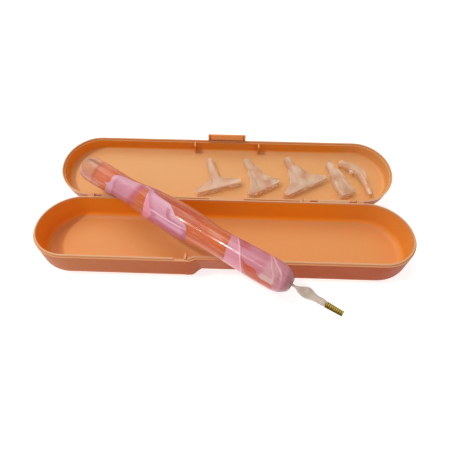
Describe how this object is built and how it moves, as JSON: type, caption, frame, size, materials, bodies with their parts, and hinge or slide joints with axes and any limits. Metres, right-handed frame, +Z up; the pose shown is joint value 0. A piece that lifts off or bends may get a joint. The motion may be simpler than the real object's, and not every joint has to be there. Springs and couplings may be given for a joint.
{
  "type": "applicator pen with storage case",
  "caption": "Resin applicator pen with a ribbed picking tip, resting on an open hinged case whose lid holds spare placing heads.",
  "frame": {"origin": "centre of the flat underside of the case base", "axes": "+X along the case towards the bent head, +Y from the base's front wall to the hinge and the open lid, +Z up"},
  "size_m": [0.19, 0.1115, 0.031],
  "materials": {
    "case_plastic": "translucent peach moulded plastic, satin",
    "pin_plastic": "orange moulded rod, satin",
    "pen_resin": "clear and marbled cast resin, polished",
    "sleeve_metal": "bright turned",
    "nib_plastic": "frosted",
    "tip_brass": "polished, fine ribs",
    "head_plastic": "frosted translucent"
  },
  "bodies": {
    "case_base": {"base_tray": "case_plastic", "hinge_pin_left": "pin_plastic", "hinge_pin_right": "pin_plastic"},
    "case_lid": {"lid_shell": "case_plastic"},
    "latch": {"lid_latch": "case_plastic"},
    "pen": {"pen_barrel": "pen_resin", "rear_sleeve": "sleeve_metal", "front_sleeve": "sleeve_metal"},
    "nib": {"nib_holder": "nib_plastic"},
    "tip": {"brass_tip": "tip_brass"},
    "spare_t": {"head_t": "head_plastic"},
    "spare_fan_small": {"head_fan_small": "head_plastic"},
    "spare_fan_large": {"head_fan_large": "head_plastic"},
    "spare_chisel": {"head_chisel": "head_plastic"},
    "spare_bent": {"head_bent": "head_plastic"}
  },
  "joints": [
    {"name": "lid_hinge", "type": "hinge", "parent": "case_base", "child": "case_lid", "pos_m": [0, 0.02145, 0.01407], "axis": [1, 0, 0], "range_deg": [0, 165.5]},
    {"name": "latch_flex", "type": "hinge", "parent": "case_lid", "child": "latch", "pos_m": [0, 0.06316, 0.02132], "axis": [-1, 0, 0], "range_deg": [0, 8], "stiffness_Nm_per_rad": 0.005},
    {"name": "pen_lift", "type": "slide", "parent": "case_base", "child": "pen", "axis": [0, -0.5, 0.866], "range_m": [0, 0.106]},
    {"name": "nib_pull", "type": "slide", "parent": "pen", "child": "nib", "axis": [0.8364, -0.5482, 0], "range_m": [0, 0.016]},
    {"name": "tip_pull", "type": "slide", "parent": "nib", "child": "tip", "axis": [0.8364, -0.5482, 0], "range_m": [0, 0.005]},
    {"name": "spare_t_lift", "type": "slide", "parent": "case_lid", "child": "spare_t", "axis": [0, -0.2504, 0.9681], "range_m": [0, 0.012]},
    {"name": "spare_fan_small_lift", "type": "slide", "parent": "case_lid", "child": "spare_fan_small", "axis": [0, -0.2504, 0.9681], "range_m": [0, 0.012]},
    {"name": "spare_fan_large_lift", "type": "slide", "parent": "case_lid", "child": "spare_fan_large", "axis": [0, -0.2504, 0.9681], "range_m": [0, 0.012]},
    {"name": "spare_chisel_lift", "type": "slide", "parent": "case_lid", "child": "spare_chisel", "axis": [0, -0.2504, 0.9681], "range_m": [0, 0.012]},
    {"name": "spare_bent_lift", "type": "slide", "parent": "case_lid", "child": "spare_bent", "axis": [0, -0.2504, 0.9681], "range_m": [0, 0.012]}
  ],
  "couplings": [
    {"joint": "pen_lift", "follows": "lid_hinge", "m_per_rad": 0.036}
  ]
}
